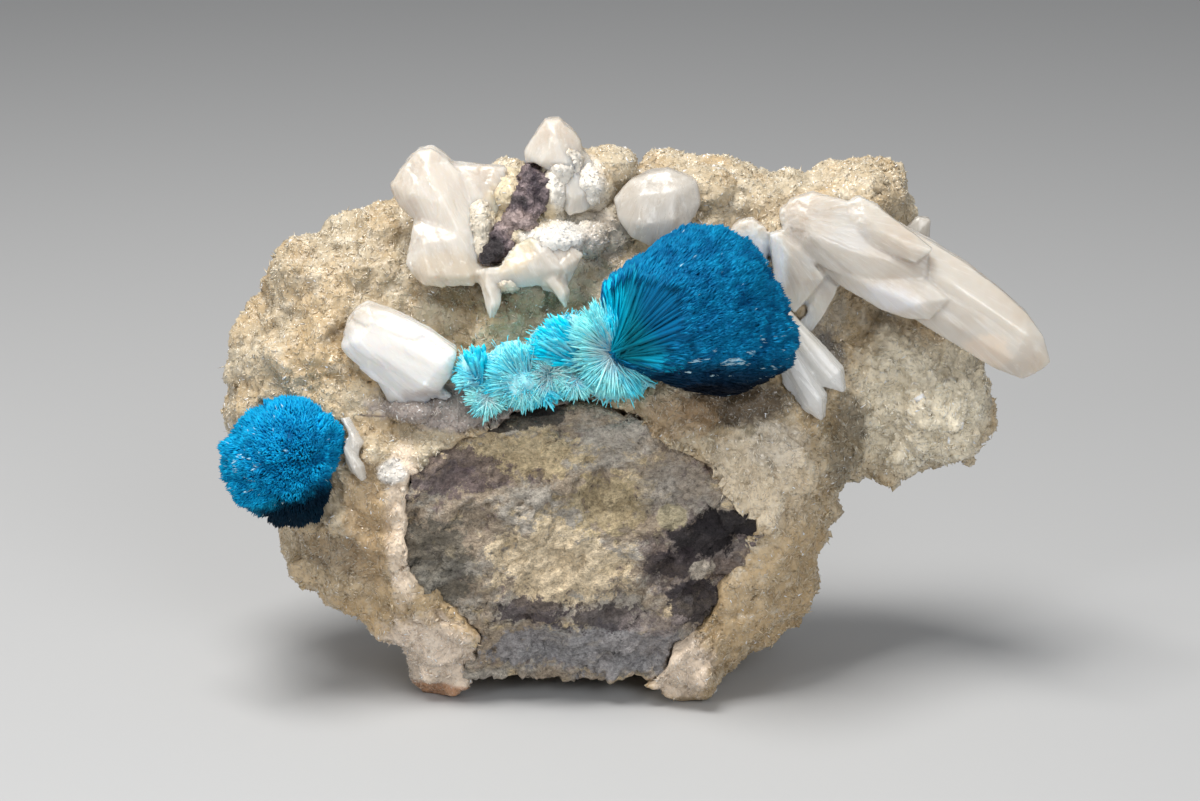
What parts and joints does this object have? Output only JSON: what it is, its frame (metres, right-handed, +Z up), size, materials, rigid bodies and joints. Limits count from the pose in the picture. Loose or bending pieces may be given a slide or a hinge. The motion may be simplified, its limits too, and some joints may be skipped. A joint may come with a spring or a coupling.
{
  "type": "cavansite specimen",
  "caption": "Blue cavansite crystal balls and pale blue sprays with white stilbite blades, on a cream zeolite crust around a basalt core.",
  "frame": {"origin": "middle of the specimen's footprint, at the level that its feet stand on", "axes": "+X to the right seen from the front, -Y towards the viewer, +Z up"},
  "size_m": [0.0594, 0.0254, 0.0414],
  "materials": {
    "druse": "sugary cream druse",
    "basalt": "rough altered basalt",
    "dark_basalt": "rough dark basalt",
    "stilbite": "pearly translucent white",
    "cavansite": "velvety saturated blue",
    "pale_cavansite": "fibrous pale blue"
  },
  "bodies": {
    "root": {"zeolite_crust": "druse", "basalt_core": "basalt", "basalt_sliver": "dark_basalt", "cavansite_large_ball": "cavansite", "cavansite_small_ball": "cavansite", "cavansite_spray_band": "pale_cavansite", "stilbite_right_cluster": "stilbite", "stilbite_back_tip": "stilbite", "stilbite_left_cluster": "stilbite", "stilbite_peak": "stilbite", "stilbite_round_blade": "stilbite", "stilbite_left_block": "stilbite", "stilbite_sheaf": "stilbite", "stilbite_chips": "stilbite"}
  },
  "joints": []
}
